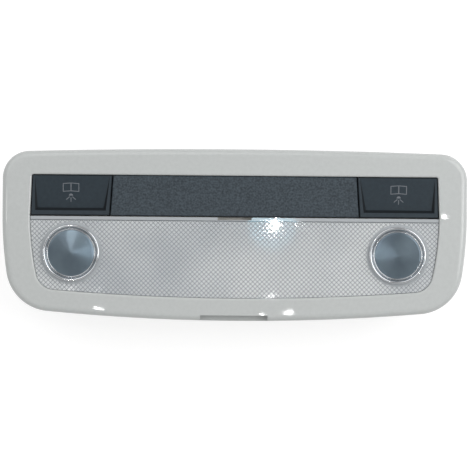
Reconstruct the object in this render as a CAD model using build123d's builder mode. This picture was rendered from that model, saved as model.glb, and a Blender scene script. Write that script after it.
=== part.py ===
from build123d import *
import os
from dataclasses import dataclass
from math import asin, atan2, cos, hypot, radians, sin, sqrt

# Car dome light for the rear roof: a pale frame round a switch strip and a prism lens,
# two reading lamps with chromed rings, and a stepped housing that passes through the roof lining.
# X runs along the lamp, +Y towards the switch strip, +Z out of the lit face.
# The origin is the middle of the frame's back rim, the plane that sits on the roof lining.
# Sizes are in millimetres.

# Frame
FRAME_LENGTH = 200.0
FRAME_WIDTH = 74.0
FRAME_HEIGHT = 7.0
FRAME_WALL = 2.2
FRONT_WALL = 2.6
FRAME_ROUND = 2.6
HOLLOW_ROUND = 1.0
FRAME_FACE_RADIUS = 900.0
FRAME_TOP_RADIUS = 2800.0
FRAME_LOW_RADIUS = 900.0
FRAME_SIDE_RADIUS = 165.0
FRAME_TOP_CORNER = 11.6
FRAME_LOW_CORNER = 19.5
SHOULDER_Y = 8.0
PRY_NOTCH_LENGTH = 29.0
PRY_NOTCH_DEPTH = 2.4
PRY_SHELF = 2.0

# Window in the frame
SIDE_BORDER = 12.0
TOP_BORDER = 11.5
BOTTOM_BORDER = 9.8
WINDOW_TAPER = 0.7
WINDOW_LOW_RADIUS = 970.0
WINDOW_SIDE_RADIUS = 118.0
WINDOW_TOP_CORNER = 0.8
WINDOW_LOW_CORNER = 8.0
WINDOW_EDGE_ROUND = 0.8

# Prism lens
LENS_RECESS = 1.0
LENS_THICKNESS = 2.4
LENS_GAP = 0.15
LENS_FLANGE = 1.5
LENS_FLANGE_WIDTH = 2.4
LENS_FLANGE_OVERLAP = 1.6
LENS_COLLAR = 1.2
LENS_NOTCH_LENGTH = 14.6
LENS_NOTCH_DEPTH = 1.1
PRISM_PITCH = 2.0
PRISM_DEPTH = 0.7

# Switch strip
STRIP_RECESS = 0.8
STRIP_HEIGHT = 17.2
STRIP_TOP_GAP = 0.25
STRIP_GAP = 0.5
STRIP_EDGE = 0.3
CENTRE_HALF = 52.25
CENTRE_FLARE = 1.15
CENTRE_PLATE = 2.0
CENTRE_SKIRT_INSET = 1.4
CENTRE_SKIRT_WALL = 1.4

# Push buttons
BUTTON_GAP = 0.3
BUTTON_PLATE = 2.6
BUTTON_SKIRT = 5.0
BUTTON_SKIRT_WALL = 1.4
BUTTON_SKIRT_INSET = 1.0
BUTTON_OVERHANG = 2.0
BUTTON_TURN = 4.0
PIVOT_RADIUS = 1.1
PIVOT_CLEARANCE = 0.05
PIVOT_INSET = 3.4
PIVOT_DROP = 5.4
POST_ARM = 9.0
POST_RADIUS = 1.0
SCOOP_SIDE = 0.95
SCOOP_LOW = 2.0
SCOOP_NARROWING = 0.75
SCOOP_DEPTH = 1.6
SCOOP_DRAFT = 38.0

# Switch carrier
CARRIER_PLATE = 1.6
CARRIER_STOP_GAP = 0.15
CARRIER_CLEARANCE = 0.4
CARRIER_LEDGE = 1.4
EAR_WALL = 1.4
EAR_CLEARANCE = 0.25
EAR_LAND = 1.2

# Circuit board and its parts
BOARD_THICKNESS = 1.6
BOARD_CLEARANCE = 0.8
BOARD_END_GAP = 4.0
SWITCH_SIDE = 6.2
SWITCH_HEIGHT = 3.4
SWITCH_CLEARANCE = 0.4
PLUNGER_RADIUS = 1.7
PLUNGER_RISE = 1.6
PLUNGER_SINK = 1.2
PLUNGER_CLEARANCE = 0.05
POST_CLEARANCE = 0.05
PLUNGER_HOLE_CLEARANCE = 0.6
SCREW_RADIUS = 1.1
SCREW_HEAD_RADIUS = 2.2
SCREW_HEAD_HEIGHT = 1.5
SCREW_LENGTH = 5.0
SCREW_CLEARANCE = 0.05
SCREW_DRIVE_SIDE = 1.4
SCREW_DRIVE_DEPTH = 0.8
BOSS_WALL = 1.8
SCREW_INNER = 30.0
SCREW_END_INSET = 5.0
CHIP_LENGTH = 10.0
CHIP_WIDTH = 6.0
CHIP_HEIGHT = 1.8

# Reading lamps
READING_INSET = 17.75
READING_RISE = 0.35
RING_OUTER_RADIUS = 12.3
RING_LIP_RADIUS = 10.0
RING_RISE = 1.7
RING_EDGE = 0.4
RING_LIP_RISE = 0.75
RING_LIP_SHARE = 0.2
RING_CREST_SHARE = 0.26
SLEEVE_RADIUS = 11.6
SLEEVE_WALL = 0.75
SLEEVE_LENGTH = 3.4
RING_CLEARANCE = 0.25
READING_LENS_PLATE = 1.6
READING_LENS_DOME = 0.6
READING_LENS_EDGE = 0.35
READING_LENS_CLEARANCE = 0.15
LENS_GROOVES = 4
GROOVE_DEPTH = 0.4
REFLECTOR_RADIUS = 10.5
REFLECTOR_WALL = 0.9
REFLECTOR_THROAT = 7.8
REFLECTOR_FOOT_HEIGHT = 8.5
REFLECTOR_FLOOR = 1.0

# Wedge bulbs and their holders
BULB_LENGTH = 26.8
BULB_RADIUS = 4.75
WEDGE_WIDTH = 9.0
WEDGE_THICKNESS = 2.6
WEDGE_LENGTH = 7.5
WEDGE_CLEARANCE = 0.15
HOLDER_RADIUS = 7.2
HOLDER_HEIGHT = 8.5
HOLDER_FLOOR = 1.6
HOLDER_FLANGE_RADIUS = 9.8
HOLDER_FLANGE = 1.4
HOLDER_CLEARANCE = 0.2
HANDLE_LENGTH = 15.0
HANDLE_THICKNESS = 3.0
HANDLE_HEIGHT = 2.2
LUG_REACH = 1.4
LUG_WIDTH = 3.0
LUG_HEIGHT = 1.4
WELL_DEPTH = 4.0
WELL_RADIUS = 11.8

# Courtesy lamp
FESTOON_RADIUS = 5.4
FESTOON_LENGTH = 43.0
FESTOON_CAP_RADIUS = 4.4
FESTOON_CAP_LENGTH = 6.0
FESTOON_SHOULDER_RADIUS = 3.0
FESTOON_TIP_RADIUS = 1.8
FESTOON_TIP_LENGTH = 2.4
FESTOON_DEPTH = 9.5
CONTACT_THICKNESS = 0.8
CONTACT_WIDTH = 8.0
CONTACT_FOOT = 9.0
CONTACT_CLEARANCE = 0.05
CONTACT_RISE = 4.5
TROUGH_HALF_LENGTH = 50.0
TROUGH_WALL = 1.2
TROUGH_DEPTH = 20.0
TROUGH_MARGIN = 1.0
TROUGH_ROUND = 9.0
TROUGH_RIB_INSET = 12.0

# Rear housing
HOUSING_DEPTH = 30.0
HOUSING_MARGIN = 3.2
HOUSING_WALL = 1.8
HOUSING_EDGE_ROUND = 1.6
BAY_DEPTH = 14.0
RIB_THICKNESS = 1.6
VENT_LENGTH = 12.0
VENT_WIDTH = 2.2
VENT_PITCH = 6.0
VENT_COUNT = 5

# Latches that join frame and housing
LATCH_WIDTH = 9.0
LATCH_THICKNESS = 1.6
LATCH_LENGTH = 7.0
LATCH_NOSE = 1.2
LATCH_NOSE_HEIGHT = 2.0
LATCH_CLEARANCE = 0.4
LATCH_PLACE = 26.0

# Roof fixing
HOOK_WIDTH = 12.0
HOOK_REACH = 3.0
HOOK_HEIGHT = 4.0
HOOK_DROP = 4.0
HOOK_PLACE = 60.0
CLIP_WIDTH = 12.0
CLIP_THICKNESS = 0.6
CLIP_BULGE = 3.2
CLIP_LENGTH = 15.0
CLIP_BEND = 1.0
CLIP_TURN = 2.4
CLIP_TOP = 3.0
CLIP_PAD = 1.4
CLIP_PLACE = 52.0

# Plug socket
SOCKET_LENGTH = 20.0
SOCKET_WIDTH = 9.0
SOCKET_WALL = 1.3
SOCKET_HEIGHT = 14.0
SOCKET_FLOOR = 2.6
SOCKET_CLEARANCE = 0.3
PIN_SIDE = 0.8
PIN_LENGTH = 6.2
PIN_PITCH = 2.8
PIN_COUNT = 6
PIN_TAIL = 0.8
PIN_CLEARANCE = 0.05

# Plan places worked out from the sizes above
frame_half = FRAME_LENGTH / 2
frame_top = FRAME_WIDTH / 2
window_half = frame_half - SIDE_BORDER
window_top = frame_top - TOP_BORDER
window_low = BOTTOM_BORDER - frame_top
strip_top = window_top - STRIP_TOP_GAP
strip_low = strip_top - STRIP_HEIGHT
lens_top = strip_low - STRIP_GAP
partition_y = lens_top - HOUSING_WALL
housing_top = window_top + HOUSING_MARGIN
reading_x = window_half - READING_INSET
bay_top = housing_top - HOUSING_WALL
bay_middle = (lens_top + bay_top) / 2
whole_plan = 2 * FRAME_LENGTH

# Heights worked out from the sizes above
seat_z = FRAME_HEIGHT - FRONT_WALL
rim_z = seat_z - LENS_FLANGE
lens_face = FRAME_HEIGHT - LENS_RECESS
lens_back = lens_face - LENS_THICKNESS
strip_face = FRAME_HEIGHT - STRIP_RECESS
housing_base = -HOUSING_DEPTH
well_floor = housing_base + HOUSING_WALL
bay_floor = -BAY_DEPTH
holder_seat = housing_base + WELL_DEPTH
reflector_seat = holder_seat + HOUSING_WALL

# Button pivot, stop and switch stack
pivot_y = strip_top - PIVOT_INSET
pivot_z = strip_face - PIVOT_DROP
button_under = strip_face - BUTTON_PLATE
skirt_low = strip_low + BUTTON_SKIRT_INSET
skirt_end = button_under - BUTTON_SKIRT
turn = radians(BUTTON_TURN)
skirt_pressed = pivot_z + (skirt_low - pivot_y) * sin(turn) + (skirt_end - pivot_z) * cos(turn)
carrier_top = skirt_pressed - CARRIER_STOP_GAP
carrier_under = carrier_top - CARRIER_PLATE
switch_top = carrier_under - SWITCH_CLEARANCE
plunger_top = switch_top + PLUNGER_RISE
board_top = switch_top - SWITCH_HEIGHT
board_under = board_top - BOARD_THICKNESS
post_y = pivot_y - POST_ARM
plunger_travel = POST_ARM * turn
button_inner = CENTRE_HALF + CENTRE_FLARE + STRIP_GAP
button_outer = window_half - WINDOW_TAPER - BUTTON_GAP
button_x = (button_inner + button_outer) / 2
board_half = window_half - BOARD_END_GAP
socket_y = bay_middle

os.makedirs("parts", exist_ok=True)


def write(part, node):
    """Labels a finished piece and writes its STEP file."""
    part.label = node
    export_step(part, f"parts/{node}.step")


def write_pair(part, node):
    """Writes a right-hand piece and its mirror image for the left."""
    write(part, f"{node}_right")
    write(mirror(part, about=Plane.YZ), f"{node}_left")


@dataclass
class Plan:
    """An outline seen from the front: straight upper sides, then arcs along the lower sides and low edge."""

    half: float
    top: float
    low: float
    taper: float
    side_radius: float
    low_radius: float
    top_corner: float
    low_corner: float
    top_radius: float = 0.0

    def top_point(self, margin):
        """Upper right corner before rounding."""
        if self.top_radius:
            x = self.half + margin
            radius = self.top_radius + margin
            return x, self.top - self.top_radius + sqrt(radius**2 - x**2)
        lean = self.taper / (self.top - SHOULDER_Y)
        side = self.half + margin * hypot(1, lean)
        return side - lean * (self.top + margin - SHOULDER_Y), self.top + margin

    def low_point(self, margin):
        """Lower right corner before rounding, where the side arc meets the low arc."""
        side_x = self.half - self.side_radius
        low_y = self.low + self.low_radius
        side, low = self.side_radius + margin, self.low_radius + margin
        across, up = -side_x, low_y - SHOULDER_Y
        gap = hypot(across, up)
        along = (gap**2 + side**2 - low**2) / (2 * gap)
        aside = sqrt(side**2 - along**2)
        return (
            side_x + (along * across + aside * up) / gap,
            SHOULDER_Y + (along * up - aside * across) / gap,
        )

    def sketch(self, margin=0.0):
        """The outline as a face, grown by a margin."""
        top_x, top_y = self.top_point(margin)
        low_x, low_y = self.low_point(margin)
        shoulder = self.half + margin
        with BuildSketch() as outline:
            with BuildLine():
                if self.top_radius:
                    ThreePointArc((-top_x, top_y), (0, self.top + margin), (top_x, top_y))
                else:
                    Line((-top_x, top_y), (top_x, top_y))
                Line((top_x, top_y), (shoulder, SHOULDER_Y))
                TangentArc((shoulder, SHOULDER_Y), (low_x, low_y), tangent=(0, -1))
                ThreePointArc((low_x, low_y), (0, self.low - margin), (-low_x, low_y))
                TangentArc((-shoulder, SHOULDER_Y), (-low_x, low_y), tangent=(0, -1))
                Line((-shoulder, SHOULDER_Y), (-top_x, top_y))
            make_face()
            top_corner = max(self.top_corner, self.top_corner + margin)
            fillet(outline.vertices().group_by(Axis.Y)[-1], top_corner)
            fillet(outline.vertices().group_by(Axis.Y)[0], self.low_corner + margin)
        return outline.sketch

    def low_at(self, x):
        """Y of the low edge at a place along the lamp."""
        return self.low + self.low_radius - sqrt(self.low_radius**2 - x**2)


def window_side_at(y):
    """X of the window's straight side beside the strip."""
    return window_half - WINDOW_TAPER * (y - SHOULDER_Y) / (window_top - SHOULDER_Y)


def button_inner_at(y):
    """X of a button's edge beside the centre panel, which flares towards the lens."""
    return CENTRE_HALF + STRIP_GAP + CENTRE_FLARE * (strip_top - y) / STRIP_HEIGHT


def keep_below(y):
    """Keeps the part of the current sketch on the lens side of a line."""
    with Locations((0, y - whole_plan / 2)):
        Rectangle(whole_plan, whole_plan, mode=Mode.INTERSECT)


def keep_above(y):
    """Keeps the part of the current sketch on the strip side of a line."""
    with Locations((0, y + whole_plan / 2)):
        Rectangle(whole_plan, whole_plan, mode=Mode.INTERSECT)


frame_edge = Plan(
    half=frame_half,
    top=frame_top,
    low=-frame_top,
    taper=0.0,
    side_radius=FRAME_SIDE_RADIUS,
    low_radius=FRAME_LOW_RADIUS,
    top_corner=FRAME_TOP_CORNER,
    low_corner=FRAME_LOW_CORNER,
    top_radius=FRAME_TOP_RADIUS,
)
window = Plan(
    half=window_half,
    top=window_top,
    low=window_low,
    taper=WINDOW_TAPER,
    side_radius=WINDOW_SIDE_RADIUS,
    low_radius=WINDOW_LOW_RADIUS,
    top_corner=WINDOW_TOP_CORNER,
    low_corner=WINDOW_LOW_CORNER,
)
# Reading lamps stand at mid height of the lens, a little towards the strip
reading_y = (lens_top + window.low_at(reading_x)) / 2 + READING_RISE

frame_plan = frame_edge.sketch()
hollow_plan = frame_edge.sketch(-FRAME_WALL)
window_plan = window.sketch()
lens_plan = window.sketch(-LENS_GAP)
lens_inner_plan = window.sketch(-LENS_FLANGE_OVERLAP)
flange_plan = window.sketch(LENS_FLANGE_WIDTH)
housing_plan = window.sketch(HOUSING_MARGIN)
housing_inner_plan = window.sketch(HOUSING_MARGIN - HOUSING_WALL)

# Latch places: two on the strip side and two on the lens side, each with its outward direction
latch_low_y = window.low_at(LATCH_PLACE + LATCH_WIDTH / 2) - HOUSING_MARGIN
latch_sides = ((housing_top, 1), (latch_low_y, -1))
latches = [(x, y, way) for x in (-LATCH_PLACE, LATCH_PLACE) for y, way in latch_sides]
latch_tip = seat_z - LATCH_LENGTH

# Frame: a crowned moulding, hollow behind, with one window and a pry notch at its low edge
with BuildPart() as frame_hollow:
    with BuildSketch():
        add(hollow_plan)
    extrude(amount=seat_z)
    fillet(frame_hollow.faces().sort_by(Axis.Z)[-1].edges(), HOLLOW_ROUND)
    with BuildSketch():
        with Locations((0, -frame_top)):
            Rectangle(PRY_NOTCH_LENGTH + 2 * FRAME_WALL, 2 * (PRY_NOTCH_DEPTH + FRAME_WALL))
    extrude(amount=FRAME_HEIGHT, mode=Mode.SUBTRACT)

with BuildPart() as frame:
    with BuildSketch():
        add(frame_plan)
    extrude(amount=FRAME_HEIGHT)
    with BuildSketch(Plane.YZ):
        with Locations((0, FRAME_HEIGHT - FRAME_FACE_RADIUS)):
            Circle(FRAME_FACE_RADIUS)
    extrude(amount=FRAME_LENGTH, both=True, mode=Mode.INTERSECT)
    fillet(frame.faces().sort_by(Axis.Z)[-1].edges(), FRAME_ROUND)
    add(frame_hollow.part, mode=Mode.SUBTRACT)
    with BuildSketch():
        add(window_plan)
    extrude(amount=FRAME_HEIGHT, mode=Mode.SUBTRACT)
    face = frame.faces().sort_by(Axis.Z)[-1]
    fillet(face.inner_wires()[0].edges(), WINDOW_EDGE_ROUND)
    with BuildSketch(Plane.XY.offset(PRY_SHELF)):
        with Locations((0, -frame_top)):
            Rectangle(PRY_NOTCH_LENGTH, 2 * PRY_NOTCH_DEPTH)
    extrude(amount=FRAME_HEIGHT, mode=Mode.SUBTRACT)
    for x, y, way in latches:
        with BuildSketch(Plane.XY.offset(latch_tip)):
            with Locations((x, y + way * (LATCH_CLEARANCE + LATCH_THICKNESS / 2))):
                Rectangle(LATCH_WIDTH, LATCH_THICKNESS)
        extrude(amount=LATCH_LENGTH + FRONT_WALL / 2)
        with BuildSketch(Plane.XY.offset(latch_tip)):
            with Locations((x, y + way * (LATCH_CLEARANCE - LATCH_NOSE) / 2)):
                Rectangle(LATCH_WIDTH, LATCH_CLEARANCE + LATCH_NOSE)
        extrude(amount=LATCH_NOSE_HEIGHT)
write(frame.part, "frame")

# Prism lens: a plate with a back flange, two lamp holes, prism ridges behind and a lifting notch
with BuildPart() as prisms:
    with BuildSketch(Plane.XY.offset(lens_back - PRISM_DEPTH)):
        add(lens_inner_plan)
        keep_below(partition_y)
        with Locations((-reading_x, reading_y), (reading_x, reading_y)):
            Circle(SLEEVE_RADIUS + RING_CLEARANCE + LENS_COLLAR, mode=Mode.SUBTRACT)
    extrude(amount=2 * PRISM_DEPTH)
    ridge_count = int(2 * window_half / PRISM_PITCH) + 1
    ridge_start = -ridge_count * PRISM_PITCH / 2
    ridge_line = [(ridge_start, lens_back - PRISM_DEPTH), (ridge_start, lens_back)]
    for ridge in range(ridge_count):
        ridge_line.append((ridge_start + (ridge + 0.5) * PRISM_PITCH, lens_back + PRISM_DEPTH))
        ridge_line.append((ridge_start + (ridge + 1) * PRISM_PITCH, lens_back))
    ridge_line.append((-ridge_start, lens_back - PRISM_DEPTH))
    with BuildSketch(Plane.XZ):
        with BuildLine():
            Polyline(*ridge_line, close=True)
        make_face()
    extrude(amount=FRAME_WIDTH, both=True, mode=Mode.INTERSECT)

with BuildPart() as lens:
    with BuildSketch(Plane.XY.offset(lens_back)):
        add(lens_plan)
        keep_below(lens_top)
    extrude(amount=LENS_THICKNESS)
    with BuildSketch(Plane.XY.offset(rim_z)):
        add(flange_plan)
        add(lens_inner_plan, mode=Mode.SUBTRACT)
        with Locations((0, lens_top - HOUSING_WALL / 2)):
            Rectangle(2 * window_half, HOUSING_WALL)
        keep_below(lens_top)
    extrude(amount=LENS_FLANGE)
    with BuildSketch(Plane.XY.offset(rim_z)):
        with Locations((-reading_x, reading_y), (reading_x, reading_y)):
            Circle(SLEEVE_RADIUS + RING_CLEARANCE)
        with Locations((0, lens_top)):
            Rectangle(LENS_NOTCH_LENGTH, 2 * LENS_NOTCH_DEPTH)
    extrude(amount=FRAME_HEIGHT, mode=Mode.SUBTRACT)
    add(prisms.part, mode=Mode.SUBTRACT)
write(lens.part, "prism_lens")

# Centre panel: a flared face plate on a skirt that stands on the carrier
with BuildPart() as panel:
    with BuildSketch(Plane.XY.offset(strip_face - CENTRE_PLATE)):
        with BuildLine():
            Polyline(
                (-CENTRE_HALF, strip_top),
                (CENTRE_HALF, strip_top),
                (CENTRE_HALF + CENTRE_FLARE, strip_low),
                (-CENTRE_HALF - CENTRE_FLARE, strip_low),
                close=True,
            )
        make_face()
    extrude(amount=CENTRE_PLATE)
    chamfer(panel.faces().sort_by(Axis.Z)[-1].edges(), STRIP_EDGE)
    with BuildSketch(Plane.XY.offset(carrier_top)):
        with Locations((0, (strip_top + strip_low) / 2)):
            Rectangle(2 * (CENTRE_HALF - CENTRE_SKIRT_INSET), STRIP_HEIGHT - 2 * CENTRE_SKIRT_INSET)
            skirt_inner = CENTRE_SKIRT_INSET + CENTRE_SKIRT_WALL
            Rectangle(2 * (CENTRE_HALF - skirt_inner), STRIP_HEIGHT - 2 * skirt_inner, mode=Mode.SUBTRACT)
    extrude(until=Until.NEXT)
write(panel.part, "centre_panel")

# Push button: a finger scoop that deepens towards the lens, a skirt, pivot pins and a switch post
scoop_high = (button_inner_at(strip_top) + SCOOP_SIDE, window_side_at(strip_top) - BUTTON_GAP - SCOOP_SIDE)
scoop_low_y = strip_low + SCOOP_LOW
scoop_inner_low = button_inner_at(scoop_low_y) + SCOOP_SIDE + SCOOP_NARROWING
scoop_outer_low = window_side_at(scoop_low_y) - BUTTON_GAP - SCOOP_SIDE - SCOOP_NARROWING
with BuildPart() as scoop:
    with BuildSketch(Plane.XY.offset(strip_face)):
        with BuildLine():
            Polyline(
                (scoop_high[0], strip_top),
                (scoop_high[1], strip_top),
                (scoop_outer_low, scoop_low_y),
                (scoop_inner_low, scoop_low_y),
                close=True,
            )
        make_face()
    extrude(amount=-2 * SCOOP_DEPTH, taper=SCOOP_DRAFT)
    slope = SCOOP_DEPTH / (strip_top - scoop_low_y)
    floor_plane = Plane(origin=(0, strip_top, strip_face), x_dir=(1, 0, 0), z_dir=(0, -slope, 1))
    split(bisect_by=floor_plane, keep=Keep.TOP)

skirt_x = (button_inner + BUTTON_OVERHANG, button_outer - BUTTON_OVERHANG)
skirt_high = strip_top - BUTTON_SKIRT_INSET
with BuildPart() as button:
    with BuildSketch(Plane.XY.offset(button_under)):
        with BuildLine():
            Polyline(
                (button_inner_at(strip_top), strip_top),
                (window_side_at(strip_top) - BUTTON_GAP, strip_top),
                (window_side_at(strip_low) - BUTTON_GAP, strip_low),
                (button_inner_at(strip_low), strip_low),
                close=True,
            )
        make_face()
    extrude(amount=BUTTON_PLATE)
    chamfer(button.faces().sort_by(Axis.Z)[-1].edges(), STRIP_EDGE)
    add(scoop.part, mode=Mode.SUBTRACT)
    with BuildSketch(Plane.XY.offset(skirt_end)):
        with Locations((button_x, (skirt_high + skirt_low) / 2)):
            Rectangle(skirt_x[1] - skirt_x[0], skirt_high - skirt_low)
            skirt_walls = 2 * BUTTON_SKIRT_WALL
            Rectangle(
                skirt_x[1] - skirt_x[0] - skirt_walls,
                skirt_high - skirt_low - skirt_walls,
                mode=Mode.SUBTRACT,
            )
    extrude(amount=BUTTON_SKIRT)
    pin_reach = EAR_CLEARANCE + EAR_WALL
    with BuildSketch(Plane.YZ.offset(skirt_x[0] - pin_reach)):
        with Locations((pivot_y, pivot_z)):
            Circle(PIVOT_RADIUS)
    extrude(amount=pin_reach + BUTTON_SKIRT_WALL / 2)
    with BuildSketch(Plane.YZ.offset(skirt_x[1] - BUTTON_SKIRT_WALL / 2)):
        with Locations((pivot_y, pivot_z)):
            Circle(PIVOT_RADIUS)
    extrude(amount=pin_reach + BUTTON_SKIRT_WALL / 2)
    post_tip = plunger_top + POST_CLEARANCE
    with BuildSketch(Plane.YZ.offset(button_x - PLUNGER_RADIUS)):
        with Locations((post_y, post_tip + POST_RADIUS)):
            Circle(POST_RADIUS)
        with Locations((post_y, (post_tip + POST_RADIUS + button_under) / 2)):
            Rectangle(2 * POST_RADIUS, button_under - post_tip - POST_RADIUS)
    extrude(amount=2 * PLUNGER_RADIUS)
write_pair(button.part, "button")

# Switch carrier: a plate across the bay with two ears for each button's pivot pins
with BuildPart() as carrier:
    carrier_low = lens_top + CARRIER_CLEARANCE
    carrier_high = bay_top - CARRIER_CLEARANCE
    with BuildSketch(Plane.XY.offset(carrier_under)):
        with Locations((0, (carrier_low + carrier_high) / 2)):
            Rectangle(2 * (window_half - CARRIER_CLEARANCE), carrier_high - carrier_low)
        with Locations((-button_x, post_y), (button_x, post_y)):
            Circle(PLUNGER_RADIUS + PLUNGER_HOLE_CLEARANCE, mode=Mode.SUBTRACT)
    extrude(amount=CARRIER_PLATE)
    ear_radius = PIVOT_RADIUS + EAR_LAND
    ear_starts = (skirt_x[0] - EAR_CLEARANCE - EAR_WALL, skirt_x[1] + EAR_CLEARANCE)
    for start in (*ear_starts, *(-start - EAR_WALL for start in ear_starts)):
        with BuildSketch(Plane.YZ.offset(start)):
            with Locations((pivot_y, pivot_z)):
                Circle(ear_radius)
            with Locations((pivot_y, (pivot_z + carrier_under) / 2)):
                Rectangle(2 * ear_radius, pivot_z - carrier_under)
            with Locations((pivot_y, pivot_z)):
                Circle(PIVOT_RADIUS + PIVOT_CLEARANCE, mode=Mode.SUBTRACT)
        extrude(amount=EAR_WALL)
write(carrier.part, "switch_carrier")

# Circuit board, its screws, its switches and the control chip
board_low = lens_top + BOARD_CLEARANCE
board_high = window_top - BOARD_CLEARANCE
screw_end = board_half - SCREW_END_INSET
screw_spots = [(x, bay_middle) for x in (-screw_end, -SCREW_INNER, SCREW_INNER, screw_end)]
pin_spots = [((pin + 0.5 - PIN_COUNT / 2) * PIN_PITCH, socket_y) for pin in range(PIN_COUNT)]
with BuildPart() as board:
    with BuildSketch(Plane.XY.offset(board_under)):
        with Locations((0, (board_low + board_high) / 2)):
            Rectangle(2 * board_half, board_high - board_low)
        with Locations(*screw_spots):
            Circle(SCREW_RADIUS + SCREW_CLEARANCE, mode=Mode.SUBTRACT)
        with Locations(*pin_spots):
            Rectangle(PIN_SIDE + 2 * PIN_CLEARANCE, PIN_SIDE + 2 * PIN_CLEARANCE, mode=Mode.SUBTRACT)
    extrude(amount=BOARD_THICKNESS)
write(board.part, "circuit_board")

with BuildPart() as screws:
    with BuildSketch(Plane.XY.offset(board_top)):
        with Locations(*screw_spots):
            Circle(SCREW_HEAD_RADIUS)
    extrude(amount=SCREW_HEAD_HEIGHT)
    with BuildSketch(Plane.XY.offset(board_top)):
        with Locations(*screw_spots):
            Circle(SCREW_RADIUS)
    extrude(amount=-SCREW_LENGTH)
    with BuildSketch(Plane.XY.offset(board_top + SCREW_HEAD_HEIGHT)):
        with Locations(*screw_spots):
            Rectangle(SCREW_DRIVE_SIDE, SCREW_DRIVE_SIDE)
    extrude(amount=-SCREW_DRIVE_DEPTH, mode=Mode.SUBTRACT)
write(screws.part, "board_screws")

with BuildPart() as chip:
    with BuildSketch(Plane.XY.offset(board_top)):
        with Locations((SCREW_INNER / 2, bay_middle - CHIP_WIDTH / 2)):
            Rectangle(CHIP_LENGTH, CHIP_WIDTH)
    extrude(amount=CHIP_HEIGHT)
write(chip.part, "control_chip")

with BuildPart() as switch:
    with BuildSketch(Plane.XY.offset(board_top)):
        with Locations((button_x, post_y)):
            Rectangle(SWITCH_SIDE, SWITCH_SIDE)
    extrude(amount=SWITCH_HEIGHT)
    chamfer(switch.edges().filter_by(Axis.Z), STRIP_EDGE)
    with BuildSketch(Plane.XY.offset(switch_top)):
        with Locations((button_x, post_y)):
            Circle(PLUNGER_RADIUS + PLUNGER_CLEARANCE)
    extrude(amount=-(PLUNGER_SINK + plunger_travel + SWITCH_CLEARANCE), mode=Mode.SUBTRACT)
write_pair(switch.part, "press_switch")

with BuildPart() as plunger:
    with BuildSketch(Plane.XY.offset(switch_top - PLUNGER_SINK)):
        with Locations((button_x, post_y)):
            Circle(PLUNGER_RADIUS)
    extrude(amount=PLUNGER_RISE + PLUNGER_SINK)
write_pair(plunger.part, "switch_plunger")

# Plug socket under the board, with its row of pins
socket_mouth = board_under - SOCKET_HEIGHT
socket_floor = board_under - SOCKET_FLOOR
with BuildPart() as socket:
    with BuildSketch(Plane.XY.offset(socket_mouth)):
        with Locations((0, socket_y)):
            Rectangle(SOCKET_LENGTH, SOCKET_WIDTH)
    extrude(amount=SOCKET_HEIGHT)
    with BuildSketch(Plane.XY.offset(socket_mouth)):
        with Locations((0, socket_y)):
            Rectangle(SOCKET_LENGTH - 2 * SOCKET_WALL, SOCKET_WIDTH - 2 * SOCKET_WALL)
    extrude(amount=SOCKET_HEIGHT - SOCKET_FLOOR, mode=Mode.SUBTRACT)
    with BuildSketch(Plane.XY.offset(socket_floor)):
        with Locations(*pin_spots):
            Rectangle(PIN_SIDE + 2 * PIN_CLEARANCE, PIN_SIDE + 2 * PIN_CLEARANCE)
    extrude(amount=SOCKET_FLOOR, mode=Mode.SUBTRACT)
write(socket.part, "plug_socket")

with BuildPart() as pins:
    with BuildSketch(Plane.XY.offset(socket_floor - PIN_LENGTH)):
        with Locations(*pin_spots):
            Rectangle(PIN_SIDE, PIN_SIDE)
    extrude(amount=PIN_LENGTH + SOCKET_FLOOR + BOARD_THICKNESS + PIN_TAIL)
write(pins.part, "socket_pins")

# Reading lamp ring: a thin lip round the lens, a slope up to a rounded crest, and a sleeve through the lens
reading_axis = Axis((reading_x, reading_y, 0), (0, 0, 1))
reading_plane = Plane(origin=(reading_x, reading_y, 0), x_dir=(1, 0, 0), z_dir=(0, -1, 0))
sleeve_inner = SLEEVE_RADIUS - SLEEVE_WALL
ring_width = RING_OUTER_RADIUS - RING_LIP_RADIUS
crest_round = RING_CREST_SHARE * ring_width
crest_radius = RING_OUTER_RADIUS - crest_round
crest_z = lens_face + RING_RISE - crest_round
valley_radius = RING_LIP_RADIUS + RING_LIP_SHARE * ring_width
valley_z = lens_face + RING_EDGE
# The slope leaves the valley and meets the crest's round at a tangent
to_crest = hypot(crest_radius - valley_radius, crest_z - valley_z)
slope_length = sqrt(to_crest**2 - crest_round**2)
slope_turn = atan2(crest_z - valley_z, crest_radius - valley_radius) + asin(crest_round / to_crest)
slope_end = (valley_radius + slope_length * cos(slope_turn), valley_z + slope_length * sin(slope_turn))
with BuildPart() as ring:
    with BuildSketch(reading_plane):
        with BuildLine():
            ThreePointArc(
                (RING_LIP_RADIUS, valley_z),
                ((RING_LIP_RADIUS + valley_radius) / 2, lens_face + RING_LIP_RISE),
                (valley_radius, valley_z),
            )
            Line((valley_radius, valley_z), slope_end)
            ThreePointArc(slope_end, (crest_radius, lens_face + RING_RISE), (RING_OUTER_RADIUS, crest_z))
            Polyline(
                (RING_OUTER_RADIUS, crest_z),
                (RING_OUTER_RADIUS, lens_face),
                (SLEEVE_RADIUS, lens_face),
                (SLEEVE_RADIUS, lens_face - SLEEVE_LENGTH),
                (sleeve_inner, lens_face - SLEEVE_LENGTH),
                (sleeve_inner, lens_face),
                (RING_LIP_RADIUS, lens_face),
                (RING_LIP_RADIUS, valley_z),
            )
        make_face()
    revolve(axis=reading_axis)
write_pair(ring.part, "lamp_ring")

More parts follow.
